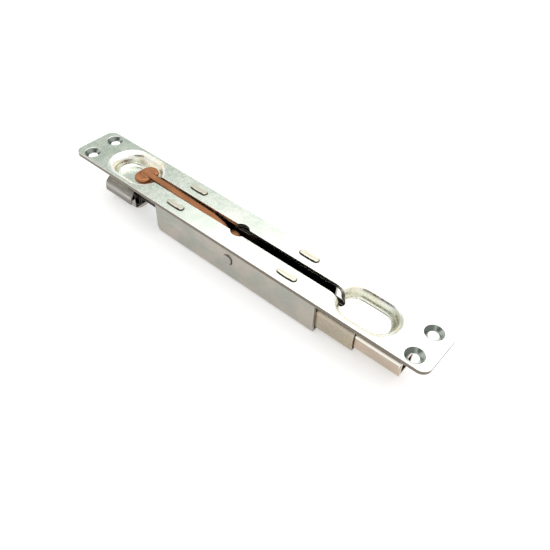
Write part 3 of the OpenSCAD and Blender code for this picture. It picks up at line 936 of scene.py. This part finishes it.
@dataclass(frozen=True)
class Card:
    """A toned card that only shows in the metal: its place, size, aim and light."""

    name: str
    place: Tuple[float, float, float]
    size: Tuple[float, float]
    target: Tuple[float, float, float]
    light: Colour

    def build(self) -> None:
        """Makes the card, seen by glossy rays alone."""
        shape = bmesh.new()
        bmesh.ops.create_grid(shape, x_segments=1, y_segments=1, size=0.5)
        mesh = bpy.data.meshes.new(self.name)
        shape.to_mesh(mesh)
        shape.free()
        card = bpy.data.objects.new(self.name, mesh)
        bpy.context.scene.collection.objects.link(card)
        aim = Vector(self.target) - Vector(self.place)
        card.matrix_world = (Matrix.Translation(self.place)
                             @ aim.to_track_quat("Z", "Y").to_matrix().to_4x4()
                             @ Matrix.Diagonal((*self.size, 1.0, 1.0)))
        card.visible_camera = False
        card.visible_diffuse = False
        card.visible_shadow = False
        card.visible_transmission = False
        material = bpy.data.materials.new(self.name)
        material.use_nodes = True
        tree = material.node_tree
        tree.nodes.clear()
        glow = tree.nodes.new("ShaderNodeEmission")
        glow.inputs["Color"].default_value = self.light
        output = tree.nodes.new("ShaderNodeOutputMaterial")
        tree.links.new(glow.outputs[0], output.inputs["Surface"])
        mesh.materials.append(material)


@dataclass(frozen=True)
class Studio:
    """A plain pale floor under a white tent, with a soft lamp and toned cards.

    The floor's size is in metres. Its glow shows to the camera and in the metal alone,
    and air is the tent's light on the object, where 1 is the white that shows.
    """

    floor_size: float = 6.0
    floor_colour: Colour = (0.84, 0.84, 0.84, 1.0)
    floor_glow: float = 0.45
    air: float = 0.55
    lamps: Tuple[SoftBox, ...] = (
        SoftBox("overhead", (0.07, 0.21, 0.60), (1.05, 0.85), 18.4, 1.2),
    )
    cards: Tuple[Card, ...] = (
        Card("green_card", (-1.06, 0.67, 0.79), (1.15, 0.8), (-0.06, 0.0, 0.02),
             (0.50, 0.57, 0.52, 1.0)),
        Card("dark_card", (-0.22, -0.70, 0.74), (0.85, 0.44), (0.04, 0.0, 0.02),
             (0.06, 0.06, 0.05, 1.0)),
    )

    @staticmethod
    def seen_rays(tree: bpy.types.NodeTree) -> Socket:
        """Tells rays that picture the surroundings from those that only light the object.

        Args:
            tree: The node tree that asks.

        Returns:
            A socket that is 1 for camera, glossy and transmission rays.
        """
        path = tree.nodes.new("ShaderNodeLightPath")
        first = tree.nodes.new("ShaderNodeMath")
        first.operation = "MAXIMUM"
        second = tree.nodes.new("ShaderNodeMath")
        second.operation = "MAXIMUM"
        tree.links.new(path.outputs["Is Camera Ray"], first.inputs[0])
        tree.links.new(path.outputs["Is Glossy Ray"], first.inputs[1])
        tree.links.new(first.outputs[0], second.inputs[0])
        tree.links.new(path.outputs["Is Transmission Ray"], second.inputs[1])
        return second.outputs[0]

    def build_world(self) -> None:
        """Makes the white surroundings."""
        world = bpy.data.worlds.new("tent")
        bpy.context.scene.world = world
        world.use_nodes = True
        tree = world.node_tree
        tree.nodes.clear()
        level = tree.nodes.new("ShaderNodeMapRange")
        tree.links.new(self.seen_rays(tree), level.inputs["Value"])
        level.inputs["To Min"].default_value = self.air
        level.inputs["To Max"].default_value = 1.0
        background = tree.nodes.new("ShaderNodeBackground")
        background.inputs["Color"].default_value = (1.0, 1.0, 1.0, 1.0)
        tree.links.new(level.outputs[0], background.inputs["Strength"])
        output = tree.nodes.new("ShaderNodeOutputWorld")
        tree.links.new(background.outputs[0], output.inputs["Surface"])

    def build_floor(self) -> None:
        """Makes the floor, which keeps the object's shadow."""
        shape = bmesh.new()
        bmesh.ops.create_grid(shape, x_segments=1, y_segments=1, size=self.floor_size / 2)
        mesh = bpy.data.meshes.new("floor")
        shape.to_mesh(mesh)
        shape.free()
        floor = bpy.data.objects.new("floor", mesh)
        bpy.context.scene.collection.objects.link(floor)
        material = bpy.data.materials.new("pale_floor")
        material.use_nodes = True
        tree = material.node_tree
        tree.nodes.clear()
        paint = tree.nodes.new("ShaderNodeBsdfDiffuse")
        paint.inputs["Color"].default_value = self.floor_colour
        glow = tree.nodes.new("ShaderNodeEmission")
        level = tree.nodes.new("ShaderNodeMath")
        level.operation = "MULTIPLY"
        tree.links.new(self.seen_rays(tree), level.inputs[0])
        level.inputs[1].default_value = self.floor_glow
        tree.links.new(level.outputs[0], glow.inputs["Strength"])
        both = tree.nodes.new("ShaderNodeAddShader")
        tree.links.new(paint.outputs[0], both.inputs[0])
        tree.links.new(glow.outputs[0], both.inputs[1])
        output = tree.nodes.new("ShaderNodeOutputMaterial")
        tree.links.new(both.outputs[0], output.inputs["Surface"])
        mesh.materials.append(material)

    def build(self) -> None:
        """Sets up the surroundings, the floor, the lamps and the cards."""
        self.build_world()
        self.build_floor()
        for light in self.lamps + self.cards:
            light.build()
        bpy.context.scene.view_settings.view_transform = "Standard"


def main() -> None:
    """Builds the studio and dresses each sub-assembly in order."""
    logging.basicConfig(level=logging.INFO, format="%(name)s: %(message)s")
    for leftover in list(bpy.data.objects):
        bpy.data.objects.remove(leftover)
    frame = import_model()
    Viewpoint().build()
    Studio().build()
    finishes = Finishes()
    for assembly in (FixedCase(), HandLever(), BoltTrain()):
        assembly.dress(frame["nodes"], finishes)


if __name__ == "__main__":
    main()
